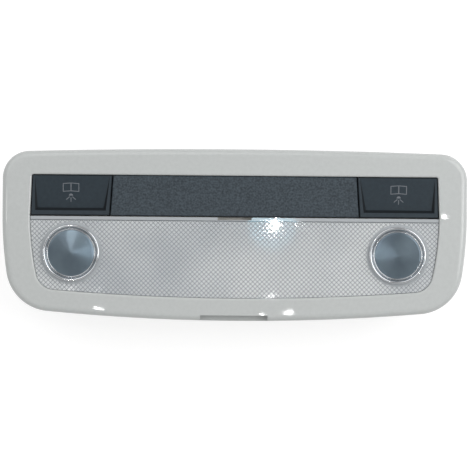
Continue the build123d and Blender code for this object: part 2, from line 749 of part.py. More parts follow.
# Reading lens: a shallow dome held behind the ring's lip, with ring grooves behind
reading_back = lens_face - READING_LENS_PLATE
dome_radius = RING_LIP_RADIUS - READING_LENS_CLEARANCE
shoulder_radius = sleeve_inner - READING_LENS_CLEARANCE
groove_step = dome_radius / (LENS_GROOVES + 1)
with BuildPart() as reading_lens:
    with BuildSketch(reading_plane):
        with BuildLine():
            Polyline(
                (dome_radius, lens_face + READING_LENS_EDGE),
                (dome_radius, lens_face),
                (shoulder_radius, lens_face),
                (shoulder_radius, reading_back),
                (0, reading_back),
                (0, lens_face + READING_LENS_DOME),
            )
            TangentArc(
                (0, lens_face + READING_LENS_DOME),
                (dome_radius, lens_face + READING_LENS_EDGE),
                tangent=(1, 0),
            )
        make_face()
        for groove in range(1, LENS_GROOVES + 1):
            with BuildLine():
                Polyline(
                    (groove * groove_step, reading_back),
                    (groove * groove_step, reading_back + GROOVE_DEPTH),
                    ((groove + 0.5) * groove_step, reading_back),
                    close=True,
                )
            make_face(mode=Mode.SUBTRACT)
    revolve(axis=reading_axis)
write_pair(reading_lens.part, "reading_lens")

# Reading reflector: a bowl in a round can whose foot stands on the housing
throat_z = reflector_seat + REFLECTOR_FOOT_HEIGHT
bowl_rim = REFLECTOR_RADIUS - REFLECTOR_WALL
with BuildPart() as reflector:
    with BuildSketch(reading_plane):
        with BuildLine():
            Polyline(
                (REFLECTOR_THROAT, throat_z + REFLECTOR_FLOOR),
                (REFLECTOR_THROAT, throat_z),
                (bowl_rim, throat_z),
                (bowl_rim, reflector_seat),
                (REFLECTOR_RADIUS, reflector_seat),
                (REFLECTOR_RADIUS, reading_back),
                (bowl_rim, reading_back),
            )
            TangentArc(
                (bowl_rim, reading_back),
                (REFLECTOR_THROAT, throat_z + REFLECTOR_FLOOR),
                tangent=(0, -1),
            )
        make_face()
    revolve(axis=reading_axis)
write_pair(reflector.part, "reading_reflector")

# Bulb holder: a twist-in socket with a flange and grip outside and two lugs inside
slot_floor = holder_seat + HOLDER_FLOOR
with BuildPart() as holder:
    with BuildSketch(Plane.XY.offset(holder_seat)):
        with Locations((reading_x, reading_y)):
            Circle(HOLDER_RADIUS)
    extrude(amount=HOLDER_HEIGHT)
    with BuildSketch(Plane.XY.offset(holder_seat)):
        with Locations((reading_x, reading_y)):
            Circle(HOLDER_FLANGE_RADIUS)
    extrude(amount=-HOLDER_FLANGE)
    with BuildSketch(Plane.XY.offset(holder_seat - HOLDER_FLANGE)):
        with Locations((reading_x, reading_y)):
            Rectangle(HANDLE_LENGTH, HANDLE_THICKNESS)
    extrude(amount=-HANDLE_HEIGHT)
    with BuildSketch(Plane.XY.offset(reflector_seat + HOLDER_CLEARANCE)):
        with Locations((reading_x, reading_y)):
            Rectangle(2 * (HOLDER_RADIUS + LUG_REACH), LUG_WIDTH)
    extrude(amount=LUG_HEIGHT)
    with BuildSketch(Plane.XY.offset(slot_floor)):
        with Locations((reading_x, reading_y)):
            Rectangle(WEDGE_WIDTH + 2 * WEDGE_CLEARANCE, WEDGE_THICKNESS + 2 * WEDGE_CLEARANCE)
    extrude(amount=HOLDER_HEIGHT, mode=Mode.SUBTRACT)
write_pair(holder.part, "bulb_holder")

# Wedge bulb: a flat base and a round glass envelope
with BuildPart() as bulb:
    with BuildSketch(Plane.XY.offset(slot_floor)):
        with Locations((reading_x, reading_y)):
            Rectangle(WEDGE_WIDTH, WEDGE_THICKNESS)
    extrude(amount=WEDGE_LENGTH + BULB_RADIUS)
    with BuildSketch(reading_plane):
        glass_start = slot_floor + WEDGE_LENGTH
        glass_end = slot_floor + BULB_LENGTH
        with BuildLine():
            Polyline(
                (0, glass_end),
                (0, glass_start),
                (BULB_RADIUS, glass_start),
                (BULB_RADIUS, glass_end - BULB_RADIUS),
            )
            TangentArc((BULB_RADIUS, glass_end - BULB_RADIUS), (0, glass_end), tangent=(0, 1))
        make_face()
    revolve(axis=reading_axis)
write_pair(bulb.part, "reading_bulb")

# Courtesy reflector: a white trough on two housing ribs, slotted for the bulb contacts
trough_top = rim_z - CARRIER_CLEARANCE
trough_low = trough_top - TROUGH_DEPTH
trough_y = (window.low_at(TROUGH_HALF_LENGTH), partition_y - TROUGH_MARGIN)
trough_middle = (trough_y[0] + trough_y[1]) / 2
trough_width = trough_y[1] - trough_y[0]
contact_x = FESTOON_LENGTH / 2 - FESTOON_TIP_LENGTH
with BuildPart() as trough:
    with BuildSketch(Plane.YZ.offset(-TROUGH_HALF_LENGTH)) as trough_profile:
        with Locations((trough_middle, trough_top - TROUGH_DEPTH / 2)):
            Rectangle(trough_width, TROUGH_DEPTH)
        fillet(trough_profile.vertices().group_by(Axis.Y)[0], TROUGH_ROUND)
    extrude(amount=2 * TROUGH_HALF_LENGTH)
    with BuildSketch(Plane.YZ.offset(TROUGH_WALL - TROUGH_HALF_LENGTH)) as trough_hollow:
        with Locations((trough_middle, trough_top - (TROUGH_DEPTH - TROUGH_WALL) / 2)):
            Rectangle(trough_width - 2 * TROUGH_WALL, TROUGH_DEPTH - TROUGH_WALL)
        fillet(trough_hollow.vertices().group_by(Axis.Y)[0], TROUGH_ROUND - TROUGH_WALL)
    extrude(amount=2 * (TROUGH_HALF_LENGTH - TROUGH_WALL), mode=Mode.SUBTRACT)
    with BuildSketch(Plane.XY.offset(trough_low)):
        slot_x = contact_x + CONTACT_THICKNESS / 2
        with Locations((-slot_x, trough_middle), (slot_x, trough_middle)):
            Rectangle(3 * CONTACT_THICKNESS, CONTACT_WIDTH + 2 * CONTACT_THICKNESS)
    extrude(amount=TROUGH_WALL, mode=Mode.SUBTRACT)
write(trough.part, "courtesy_reflector")

# Festoon bulb: a glass tube with a stepped cap and a tip at each end
festoon_z = -FESTOON_DEPTH
with BuildPart() as festoon:
    with BuildSketch(Plane(origin=(0, trough_middle, festoon_z), x_dir=(1, 0, 0), z_dir=(0, -1, 0))):
        with BuildLine():
            end = FESTOON_LENGTH / 2
            cap_start = contact_x - FESTOON_CAP_LENGTH
            profile = Polyline(
                (0, FESTOON_RADIUS),
                (cap_start - FESTOON_RADIUS + FESTOON_CAP_RADIUS, FESTOON_RADIUS),
                (cap_start, FESTOON_CAP_RADIUS),
                (contact_x - FESTOON_CAP_LENGTH / 3, FESTOON_CAP_RADIUS),
                (contact_x, FESTOON_SHOULDER_RADIUS),
                (contact_x, FESTOON_TIP_RADIUS),
                (end, FESTOON_TIP_RADIUS),
                (end, 0),
            )
            mirror(profile, about=Plane.YZ)
            Line((-end, 0), (end, 0))
        make_face()
    revolve(axis=Axis((0, trough_middle, festoon_z), (1, 0, 0)))
write(festoon.part, "courtesy_bulb")

# Bulb contact: a brass strip bent from a foot on the housing floor up to the bulb's tip
with BuildPart() as contact:
    with BuildSketch(Plane.YZ.offset(contact_x)):
        with Locations((trough_middle, (well_floor + festoon_z + CONTACT_RISE) / 2)):
            Rectangle(CONTACT_WIDTH, festoon_z + CONTACT_RISE - well_floor)
        with Locations((trough_middle, festoon_z)):
            Circle(FESTOON_TIP_RADIUS + CONTACT_CLEARANCE, mode=Mode.SUBTRACT)
    extrude(amount=CONTACT_THICKNESS)
    with BuildSketch(Plane.XY.offset(well_floor)):
        with Locations((contact_x + CONTACT_FOOT / 2, trough_middle)):
            Rectangle(CONTACT_FOOT, CONTACT_WIDTH)
    extrude(amount=CONTACT_THICKNESS)
write_pair(contact.part, "bulb_contact")

# Rear housing: a switch bay beside a deeper lamp well, divided by a partition that carries the lens
clip_pad_y = window.low_at(CLIP_PLACE) - HOUSING_MARGIN - CLIP_PAD
clip_pad_end = -CLIP_TOP - CLIP_LENGTH
with BuildPart() as housing:
    with BuildSketch(Plane.XY.offset(bay_floor - HOUSING_WALL)):
        add(housing_plan)
    extrude(amount=rim_z - bay_floor + HOUSING_WALL)
    with BuildSketch(Plane.XY.offset(housing_base)):
        add(housing_plan)
        keep_below(lens_top)
    extrude(amount=HOUSING_DEPTH)
    chamfer(housing.faces().sort_by(Axis.Z)[0].edges(), HOUSING_EDGE_ROUND)
    for place in (-CLIP_PLACE, CLIP_PLACE):
        with BuildSketch(Plane.XY.offset(clip_pad_end)):
            with Locations((place, clip_pad_y + (HOUSING_WALL + CLIP_PAD) / 2)):
                Rectangle(CLIP_WIDTH, HOUSING_WALL + CLIP_PAD)
        extrude(amount=CLIP_LENGTH)
    for place in (-HOOK_PLACE, HOOK_PLACE):
        with BuildSketch(Plane.YZ.offset(place - HOOK_WIDTH / 2)):
            with BuildLine():
                Polyline(
                    (housing_top - HOUSING_WALL / 2, -HOOK_DROP),
                    (housing_top + HOOK_REACH, -HOOK_DROP),
                    (housing_top + HOOK_REACH, -HOOK_DROP - HOOK_HEIGHT / 2),
                    (housing_top, -HOOK_DROP - HOOK_HEIGHT),
                    (housing_top - HOUSING_WALL / 2, -HOOK_DROP - HOOK_HEIGHT),
                    close=True,
                )
            make_face()
        extrude(amount=HOOK_WIDTH)
    with BuildSketch(Plane.XY.offset(bay_floor)):
        add(housing_inner_plan)
        keep_above(lens_top)
    extrude(amount=BAY_DEPTH + FRAME_HEIGHT, mode=Mode.SUBTRACT)
    with BuildSketch(Plane.XY.offset(well_floor)):
        add(housing_inner_plan)
        keep_below(partition_y)
    extrude(amount=HOUSING_DEPTH + FRAME_HEIGHT, mode=Mode.SUBTRACT)
    # raised floors round the bulb holders
    with BuildSketch(Plane.XY.offset(well_floor)):
        with Locations((-reading_x, reading_y), (reading_x, reading_y)):
            Circle(WELL_RADIUS + HOUSING_WALL)
    extrude(amount=WELL_DEPTH)
    with BuildSketch(Plane.XY.offset(housing_base)):
        with Locations((-reading_x, reading_y), (reading_x, reading_y)):
            Circle(WELL_RADIUS)
    extrude(amount=WELL_DEPTH, mode=Mode.SUBTRACT)
    with BuildSketch(Plane.XY.offset(holder_seat)):
        with Locations((-reading_x, reading_y), (reading_x, reading_y)):
            Circle(HOLDER_RADIUS + HOLDER_CLEARANCE)
            Rectangle(LUG_WIDTH + 2 * HOLDER_CLEARANCE, 2 * (HOLDER_RADIUS + LUG_REACH + HOLDER_CLEARANCE))
    extrude(amount=HOUSING_WALL, mode=Mode.SUBTRACT)
    # ribs under the courtesy reflector
    rib_x = TROUGH_HALF_LENGTH - TROUGH_RIB_INSET
    with BuildSketch(Plane.XY.offset(well_floor)):
        with Locations((-rib_x, trough_middle), (rib_x, trough_middle)):
            Rectangle(RIB_THICKNESS, trough_width - 2 * TROUGH_ROUND)
    extrude(amount=trough_low - well_floor)
    # ledge and ribs under the switch carrier
    with BuildSketch(Plane.XY.offset(carrier_under - CARRIER_LEDGE)):
        with Locations((0, lens_top + CARRIER_LEDGE / 2)):
            Rectangle(2 * board_half, CARRIER_LEDGE)
    extrude(amount=CARRIER_LEDGE)
    rib_depth = bay_top - board_high - CARRIER_CLEARANCE
    with BuildSketch(Plane.XY.offset(bay_floor)):
        with Locations((0, bay_top - rib_depth / 2)):
            with GridLocations(board_half / 2, 1, 4, 1):
                Rectangle(RIB_THICKNESS, rib_depth)
    extrude(amount=carrier_under - bay_floor)
    # bosses for the board screws
    with BuildSketch(Plane.XY.offset(bay_floor)):
        with Locations(*screw_spots):
            Circle(SCREW_RADIUS + BOSS_WALL)
    extrude(amount=board_under - bay_floor)
    with BuildSketch(Plane.XY.offset(board_under)):
        with Locations(*screw_spots):
            Circle(SCREW_RADIUS + SCREW_CLEARANCE)
    extrude(amount=bay_floor - board_under, mode=Mode.SUBTRACT)
    # openings for the plug socket, the latches, the lens notch and the heat of the bulb
    with BuildSketch(Plane.XY.offset(bay_floor)):
        with Locations((0, socket_y)):
            Rectangle(SOCKET_LENGTH + 2 * SOCKET_CLEARANCE, SOCKET_WIDTH + 2 * SOCKET_CLEARANCE)
    extrude(amount=-HOUSING_WALL, mode=Mode.SUBTRACT)
    for x, y, way in latches:
        with BuildSketch(Plane.XY.offset(latch_tip - LATCH_CLEARANCE)):
            with Locations((x, y)):
                Rectangle(LATCH_WIDTH + 2 * LATCH_CLEARANCE, 2 * HOUSING_WALL + LATCH_CLEARANCE)
        extrude(amount=LATCH_NOSE_HEIGHT + 2 * LATCH_CLEARANCE, mode=Mode.SUBTRACT)
    with BuildSketch(Plane.XY.offset(rim_z)):
        with Locations((0, lens_top - LENS_NOTCH_DEPTH / 2)):
            Rectangle(LENS_NOTCH_LENGTH, LENS_NOTCH_DEPTH)
    extrude(amount=-LENS_FLANGE, mode=Mode.SUBTRACT)
    with BuildSketch(Plane.XY.offset(housing_base)):
        with Locations((0, trough_middle)):
            with GridLocations(VENT_PITCH, 1, VENT_COUNT, 1):
                SlotOverall(VENT_LENGTH, VENT_WIDTH, rotation=90)
    extrude(amount=HOUSING_WALL, mode=Mode.SUBTRACT)
write(housing.part, "rear_housing")

# Roof spring clip: a folded steel leaf on the housing's lens side
leaf_y = clip_pad_y - CLIP_THICKNESS / 2
with BuildPart() as clip:
    with BuildSketch(Plane.YZ.offset(CLIP_PLACE - CLIP_WIDTH / 2)):
        with BuildLine():
            FilletPolyline(
                (leaf_y, clip_pad_end),
                (leaf_y, -CLIP_TOP),
                (leaf_y - CLIP_TURN, -CLIP_TOP),
                (leaf_y - CLIP_BULGE, -CLIP_TOP - CLIP_LENGTH / 2),
                (leaf_y - CLIP_TURN / 2, -CLIP_TOP - CLIP_LENGTH),
                radius=CLIP_BEND,
            )
        trace(line_width=CLIP_THICKNESS)
    extrude(amount=CLIP_WIDTH)
write_pair(clip.part, "roof_clip")
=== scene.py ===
"""Looks of a car dome light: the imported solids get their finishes, and the fine moulded detail is added.

The lens gets its field of small pyramids, each reading lamp a disc with ring grooves, and each button a
printed sign. Sizes are in metres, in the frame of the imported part: +Z leaves the lit face.
"""

from __future__ import annotations

import logging
import math
from dataclasses import dataclass, field
from enum import Enum
from typing import Any

import bpy
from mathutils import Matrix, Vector

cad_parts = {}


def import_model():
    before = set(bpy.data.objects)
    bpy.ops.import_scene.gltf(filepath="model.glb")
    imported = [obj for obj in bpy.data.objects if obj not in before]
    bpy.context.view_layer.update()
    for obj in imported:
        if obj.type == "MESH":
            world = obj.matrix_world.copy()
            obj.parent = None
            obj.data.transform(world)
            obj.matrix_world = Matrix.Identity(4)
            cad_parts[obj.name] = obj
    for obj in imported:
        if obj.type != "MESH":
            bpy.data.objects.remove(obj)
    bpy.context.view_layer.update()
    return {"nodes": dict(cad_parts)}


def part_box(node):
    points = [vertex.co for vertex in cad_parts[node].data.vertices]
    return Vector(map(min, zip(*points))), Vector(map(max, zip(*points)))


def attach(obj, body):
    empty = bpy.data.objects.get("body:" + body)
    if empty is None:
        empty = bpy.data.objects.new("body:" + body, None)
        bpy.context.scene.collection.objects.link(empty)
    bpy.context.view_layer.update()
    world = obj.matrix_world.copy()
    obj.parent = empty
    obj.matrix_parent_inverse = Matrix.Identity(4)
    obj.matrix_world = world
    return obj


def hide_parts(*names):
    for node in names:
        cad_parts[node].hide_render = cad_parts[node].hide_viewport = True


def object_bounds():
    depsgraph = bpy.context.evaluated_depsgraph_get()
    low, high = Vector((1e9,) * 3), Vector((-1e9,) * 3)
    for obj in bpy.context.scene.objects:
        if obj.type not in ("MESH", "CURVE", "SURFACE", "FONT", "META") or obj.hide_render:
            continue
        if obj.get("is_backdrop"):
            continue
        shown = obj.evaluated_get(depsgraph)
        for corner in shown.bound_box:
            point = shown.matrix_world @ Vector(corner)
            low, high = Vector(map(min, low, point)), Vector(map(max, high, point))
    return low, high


MM = 0.001
# Vertices closer than this are merged
MERGE_DISTANCE = 1e-7
# Corners of a full turn on a round piece
TURN_CORNERS = 128
# A face points up when the Z of its normal is above this
UPWARD = 0.9
# Colour sockets of a Mix node, which share their names with its sockets for other data
MIX_FIRST, MIX_SECOND, MIX_RESULT = 6, 7, 2
log = logging.getLogger("dome_light")


class Side(Enum):
    """The two ends of the lamp, as the sign of X."""

    LEFT = -1
    RIGHT = 1

    def node(self, stem: str) -> str:
        """Name of this end's copy of a paired node."""
        return f"{stem}_{self.name.lower()}"


def linear(code: str) -> tuple[float, float, float, float]:
    """Turns an sRGB hex colour to linear RGBA.

    Args:
        code: Colour such as "#C4C7C4".

    Returns:
        Linear red, green and blue, and an alpha of 1.
    """
    parts = [int(code[i : i + 2], 16) / 255 for i in (1, 3, 5)]
    red, green, blue = (p / 12.92 if p <= 0.04045 else ((p + 0.055) / 1.055) ** 2.4 for p in parts)
    return red, green, blue, 1.0


def add_node(
    tree: bpy.types.NodeTree,
    kind: str,
    settings: dict[str | int, Any] | None = None,
    links: dict[str | int, bpy.types.NodeSocket] | None = None,
) -> bpy.types.Node:
    """Adds one shader node with its settings and links.

    Args:
        tree: Node tree that gets the node.
        kind: Node type, without the ShaderNode that starts its full name.
        settings: Values by attribute name, or by input name or number.
        links: Output sockets by the input name or number that they feed.

    Returns:
        The new node.
    """
    node = tree.nodes.new(f"ShaderNode{kind}")
    for key, value in (settings or {}).items():
        if isinstance(key, str) and hasattr(node, key):
            setattr(node, key, value)
        else:
            node.inputs[key].default_value = value
    for key, socket in (links or {}).items():
        tree.links.new(socket, node.inputs[key])
    return node


def start_clean() -> None:
    """Deselects every object, so that an operator meets only the piece at hand."""
    if bpy.context.object and bpy.context.object.mode != "OBJECT":
        bpy.ops.object.mode_set(mode="OBJECT")
    bpy.ops.object.select_all(action="DESELECT")


def take(*pieces: bpy.types.Object) -> None:
    """Selects pieces, and nothing else, for the operators that follow.

    Args:
        pieces: Objects to select; the first becomes the active one.
    """
    start_clean()
    for piece in pieces:
        piece.select_set(True)
    bpy.context.view_layer.objects.active = pieces[0]


def merge_doubles() -> None:
    """Goes to edit mode with the whole piece at hand selected, and merges its doubles."""
    bpy.ops.object.mode_set(mode="EDIT")
    bpy.ops.mesh.select_all(action="SELECT")
    bpy.ops.mesh.remove_doubles(threshold=MERGE_DISTANCE)


def pick_top(piece: bpy.types.Object) -> None:
    """Goes to edit mode with only the faces selected that point up.

    Args:
        piece: Mesh object at hand.
    """
    bpy.ops.object.mode_set(mode="EDIT")
    bpy.context.tool_settings.mesh_select_mode = (False, False, True)
    bpy.ops.mesh.select_all(action="DESELECT")
    bpy.ops.object.mode_set(mode="OBJECT")
    for face in piece.data.polygons:
        face.select = face.normal.z > UPWARD
    bpy.ops.object.mode_set(mode="EDIT")


def finish_mesh(piece: bpy.types.Object, name: str, smooth_angle: float | None = None) -> bpy.types.Object:
    """Merges doubles, turns faces outwards and puts the place of a piece into its mesh.

    Args:
        piece: Mesh object at hand.
        name: Name that the piece gets.
        smooth_angle: Angle in degrees under which edges are shaded smooth, or None for flat faces.

    Returns:
        The same object.
    """
    merge_doubles()
    bpy.ops.mesh.normals_make_consistent(inside=False)
    bpy.ops.object.mode_set(mode="OBJECT")
    bpy.ops.object.transform_apply(location=True, rotation=True, scale=True)
    if smooth_angle is not None:
        bpy.ops.object.shade_smooth_by_angle(angle=math.radians(smooth_angle))
    piece.name = name
    return piece


def copy_node(node: str, name: str) -> bpy.types.Object:
    """Makes a merged copy of a CAD node's mesh to work on.

    Args:
        node: CAD node.
        name: Name of the copy.

    Returns:
        The copy, selected and active.
    """
    piece = bpy.data.objects.new(name, bpy.data.objects[node].data.copy())
    bpy.context.scene.collection.objects.link(piece)
    take(piece)
    bpy.ops.mesh.customdata_custom_splitnormals_clear()
    merge_doubles()
    bpy.ops.object.mode_set(mode="OBJECT")
    return piece


def cut(piece: bpy.types.Object, cutter: bpy.types.Object) -> None:
    """Takes a closed cutter out of a piece and removes the cutter.

    Args:
        piece: Mesh object that is cut.
        cutter: Closed mesh object.
    """
    take(piece)
    modifier = piece.modifiers.new("cut", "BOOLEAN")
    modifier.operation = "DIFFERENCE"
    modifier.solver = "MANIFOLD"
    modifier.object = cutter
    bpy.ops.object.modifier_apply(modifier=modifier.name)
    bpy.data.meshes.remove(cutter.data)


@dataclass(frozen=True)
class Finish:
    """What a surface is made of: a name and two near tones that its pattern mixes."""

    name: str
    tone: str
    second_tone: str

    def material(self) -> bpy.types.Material:
        """Returns the finish as a material, made on first use."""
        if self.name not in bpy.data.materials:
            made = bpy.data.materials.new(self.name)
            made.use_nodes = True
            made.node_tree.nodes.clear()
            add_node(made.node_tree, "OutputMaterial", links={"Surface": self.shader(made.node_tree)})
        return bpy.data.materials[self.name]

    def shader(self, tree: bpy.types.NodeTree) -> bpy.types.NodeSocket:
        """Builds the shader nodes and returns their last output."""
        raise NotImplementedError

    def mottle(self, tree: bpy.types.NodeTree, size: float, detail: float) -> bpy.types.NodeSocket:
        """Adds the mottle of the surface, in the object's own coordinates.

        Args:
            tree: Node tree of the material.
            size: Size of one grain or patch.
            detail: How many finer layers the noise has.

        Returns:
            A value about 0.5.
        """
        place = add_node(tree, "TexCoord")
        settings = {"Scale": 1 / size, "Detail": detail}
        return add_node(tree, "TexNoise", settings, {"Vector": place.outputs["Object"]}).outputs[0]

    def mixed(self, tree: bpy.types.NodeTree, share: bpy.types.NodeSocket) -> bpy.types.NodeSocket:
        """Mixes the two tones.

        Args:
            tree: Node tree of the material.
            share: Share of the second tone.

        Returns:
            The mixed colour.
        """
        tones = {"data_type": "RGBA", MIX_FIRST: linear(self.tone), MIX_SECOND: linear(self.second_tone)}
        return add_node(tree, "Mix", tones, {"Factor": share}).outputs[MIX_RESULT]


@dataclass(frozen=True)
class Plastic(Finish):
    """Moulded plastic: its grain mixes the tones and gives a fine bump.

    Sizes of grain are what the eye sees at the photograph's scale; the real spark-eroded grain is about
    0.1 mm, too fine to show, so it is drawn coarser.

    Attributes:
        roughness: Roughness of the surface.
        grain: Size of one grain.
        grain_depth: Depth of the bump.
        ior: Index of refraction.
        detail: How many finer layers the grain has.
        spread: How far the noise goes from its mean before one tone stands alone.
        bump: Strength of the bump, from 0 to 1.
    """

    roughness: float
    grain: float
    grain_depth: float
    ior: float = 1.5
    detail: float = 2.0
    spread: float = 0.2
    bump: float = 0.6

    def shader(self, tree: bpy.types.NodeTree) -> bpy.types.NodeSocket:
        """Builds the shader nodes and returns their last output."""
        grain = self.mottle(tree, self.grain, self.detail)
        levels = {"From Min": 0.5 - self.spread, "From Max": 0.5 + self.spread}
        speckle = add_node(tree, "MapRange", levels, {"Value": grain})
        relief = {"Strength": self.bump, "Distance": self.grain_depth}
        bump = add_node(tree, "Bump", relief, {"Height": grain})
        return add_node(
            tree,
            "BsdfPrincipled",
            {"Roughness": self.roughness, "IOR": self.ior},
            {"Base Color": self.mixed(tree, speckle.outputs[0]), "Normal": bump.outputs[0]},
        ).outputs[0]


@dataclass(frozen=True)
class ShadedFlankPlastic(Plastic):
    """Moulded plastic with painted shade on its steep flanks: they get a darker tone than its flats, standing
    in for the shade that falls in a recess.

    Attributes:
        painted_flank_shade: Tone of the painted shade on the flanks.
        steep: Z of the normal at which the surface gets all painted shade, and none.
    """

    painted_flank_shade: str = "#12181D"
    steep: tuple[float, float] = (0.62, 0.86)

    def mixed(self, tree: bpy.types.NodeTree, share: bpy.types.NodeSocket) -> bpy.types.NodeSocket:
        """Mixes the two tones, and paints shade where the surface is steep.

        Args:
            tree: Node tree of the material.
            share: Share of the second tone.

        Returns:
            The mixed colour.
        """
        place = add_node(tree, "TexCoord")
        parts = add_node(tree, "SeparateXYZ", links={"Vector": place.outputs["Normal"]})
        levels = {"From Min": self.steep[0], "From Max": self.steep[1]}
        flat = add_node(tree, "MapRange", levels, {"Value": parts.outputs["Z"]})
        # Painted shade: steep faces take the dark tone, flat faces keep the plastic's own tones
        tones = {"data_type": "RGBA", MIX_FIRST: linear(self.painted_flank_shade)}
        links = {"Factor": flat.outputs[0], MIX_SECOND: super().mixed(tree, share)}
        return add_node(tree, "Mix", tones, links).outputs[MIX_RESULT]


@dataclass(frozen=True)
class Metal(Finish):
    """Plated, rolled or stamped metal: a mirror whose roughness wanders a little over the surface.

    Attributes:
        roughness: Least and greatest roughness.
        patch: Size of one patch.
        detail: How many finer layers the patches have.
    """

    roughness: tuple[float, float]
    patch: float
    detail: float = 3.0

    def shader(self, tree: bpy.types.NodeTree) -> bpy.types.NodeSocket:
        """Builds the shader nodes and returns their last output."""
        patch = self.mottle(tree, self.patch, self.detail)
        levels = {"To Min": self.roughness[0], "To Max": self.roughness[1]}
        polish = add_node(tree, "MapRange", levels, {"Value": patch})
        return add_node(
            tree,
            "BsdfPrincipled",
            {"Metallic": 1.0},
            {"Base Color": self.mixed(tree, patch), "Roughness": polish.outputs[0]},
        ).outputs[0]


@dataclass(frozen=True)
class ClearPlastic(Finish):
    """Clear moulded plastic or glass: partly see-through, with a little haze that is lit from the front.

    Attributes:
        roughness: Roughness of the surface.
        see_through: Share of the light that goes through.
        haze_patch: Size of one patch of haze.
        ior: Index of refraction.
        metallic: Share of mirror, for a piece that a reflector backs closely.
        spread: How far the noise goes from its mean before one tone stands alone.
        detail: How many finer layers the haze has.
    """

    roughness: float
    see_through: float
    haze_patch: float
    ior: float = 1.49
    metallic: float = 0.0
    spread: float = 0.15
    detail: float = 2.0

    def colour(self, tree: bpy.types.NodeTree) -> bpy.types.NodeSocket:
        """Adds the haze and returns the colour."""
        haze = self.mottle(tree, self.haze_patch, self.detail)
        levels = {"From Min": 0.5 - self.spread, "From Max": 0.5 + self.spread}
        share = add_node(tree, "MapRange", levels, {"Value": haze})
        return self.mixed(tree, share.outputs[0])

    def shader(self, tree: bpy.types.NodeTree) -> bpy.types.NodeSocket:
        """Builds the shader nodes and returns their last output."""
        return add_node(
            tree,
            "BsdfPrincipled",
            {
                "Roughness": self.roughness,
                "IOR": self.ior,
                "Transmission Weight": self.see_through,
                "Metallic": self.metallic,
            },
            {"Base Color": self.colour(tree)},
        ).outputs[0]


@dataclass(frozen=True)
class PrismPlastic(ClearPlastic):
    """Clear plastic with a field of pyramids: painted shade darkens the valleys between them, and plain
    strips lie above.

    Attributes:
        painted_valley_shade: Tone of the painted shade in the valleys.
        plain: Tone of the plain strips.
        valley_z: Height of the valleys.
        crest_z: Height of the pyramids' flats.
        face_z: Height of the plain strips.
    """

    painted_valley_shade: str = "#9AA0A5"
    plain: str = "#D2D7DB"
    valley_z: float = 0.0
    crest_z: float = 0.0
    face_z: float = 0.0

    def colour(self, tree: bpy.types.NodeTree) -> bpy.types.NodeSocket:
        """Adds the painted shade in the valleys and the plain strips to the haze and returns the colour."""
        place = add_node(tree, "TexCoord")
        height = add_node(tree, "SeparateXYZ", links={"Vector": place.outputs["Object"]}).outputs["Z"]
        levels = {"From Min": self.valley_z, "From Max": self.crest_z}
        rise = add_node(tree, "MapRange", levels, {"Value": height})
        levels = {"From Min": self.crest_z, "From Max": self.face_z}
        above = add_node(tree, "MapRange", levels, {"Value": height})
        # Painted shade: the valleys take a darker tone than the pyramids' flats
        tones = {"data_type": "RGBA", MIX_FIRST: linear(self.painted_valley_shade)}
        links = {"Factor": rise.outputs[0], MIX_SECOND: super().colour(tree)}
        field_tone = add_node(tree, "Mix", tones, links).outputs[MIX_RESULT]
        tones = {"data_type": "RGBA", MIX_SECOND: linear(self.plain)}
        links = {"Factor": above.outputs[0], MIX_FIRST: field_tone}
        return add_node(tree, "Mix", tones, links).outputs[MIX_RESULT]


# ABS with a polished mould surface: pale cool grey with small, sharp glints
FRAME_ABS = Plastic("abs_polished_pale_grey", "#BDC0BF", "#C1C4C3", 0.02, 1.6 * MM, 0.001 * MM)
# PC-ABS with a sand-blasted mould surface: slate grey with a fine bright and dark speckle
STRIP_ABS = Plastic("pc_abs_sandblasted_slate", "#222B32", "#414C54", 0.52, 0.8 * MM, 0.05 * MM, 1.45, 3.0)
# The same plastic with a smoother mould surface on the finger rests: darker and more even, with painted shade
# on the rests' steep walls
BUTTON_ABS = ShadedFlankPlastic("pc_abs_satin_slate", "#222D35", "#27333B", 0.42, 1.4 * MM, 0.012 * MM, 1.45)
# Pad-printed ink: flat light grey that sits on the plastic
SIGN_INK = Plastic("pad_print_light_grey", "#676C72", "#73787E", 0.6, 0.6 * MM, 0.005 * MM)
# Polypropylene housing: off-white, slightly waxy
WHITE_PP = Plastic("polypropylene_off_white", "#DAD9D3", "#E2E1DC", 0.48, 2.2 * MM, 0.02 * MM, 1.49)
# Glass-filled nylon: near black with a dull bloom
BLACK_NYLON = Plastic("glass_filled_nylon_black", "#1B1C1E", "#26272A", 0.5, 0.8 * MM, 0.03 * MM)
# Lacquered glass-epoxy board: dark green with a faint weave tone
BOARD_LACQUER = Plastic("glass_epoxy_green_lacquer", "#14492A", "#1B5A34", 0.3, 1.2 * MM, 0.01 * MM)
# Vacuum-metallised plastic: soft silver with slight haze
SILVER_COAT = Metal("metallised_plastic_silver", "#D9DBDC", "#E4E6E7", (0.22, 0.34), 6 * MM)
# Chromium plating on plastic: cold white mirror
CHROME = Metal("chrome_plated_plastic", "#C6C9CC", "#D2D5D8", (0.09, 0.15), 4 * MM)
# Stamped brass: warm yellow, rubbed
BRASS = Metal("stamped_brass", "#C9A45C", "#D9B872", (0.25, 0.4), 3 * MM)
# Rolled spring steel: mid grey with a dull sheen
SPRING_STEEL = Metal("rolled_spring_steel", "#A9ACAE", "#B9BCBE", (0.28, 0.42), 2 * MM)
# Clear acrylic with moulded pyramids: milky grey lattice with painted shade in its valleys and glinting
# flats, the reflector shimmers through
LENS_ACRYLIC = PrismPlastic(
    "acrylic_prismatic_clear",
    "#DCE1E5",
    "#FAFDFE",
    roughness=0.03,
    see_through=0.35,
    haze_patch=40 * MM,
    valley_z=5.84 * MM,
    crest_z=5.98 * MM,
    face_z=6.0 * MM,
)
# Smoked polycarbonate with ring grooves: steel blue, its highlights fan out along the radius
DISC_SMOKED = ClearPlastic("polycarbonate_smoked_blue", "#6B7984", "#788791", 0.2, 0.0, 9 * MM, 1.58, 0.7)
# Soda-lime bulb glass: clear, with bright edges
BULB_GLASS = ClearPlastic("bulb_glass_drawn_clear", "#EEF0EE", "#F4F5F3", 0.05, 0.85, 10 * MM, 1.52)


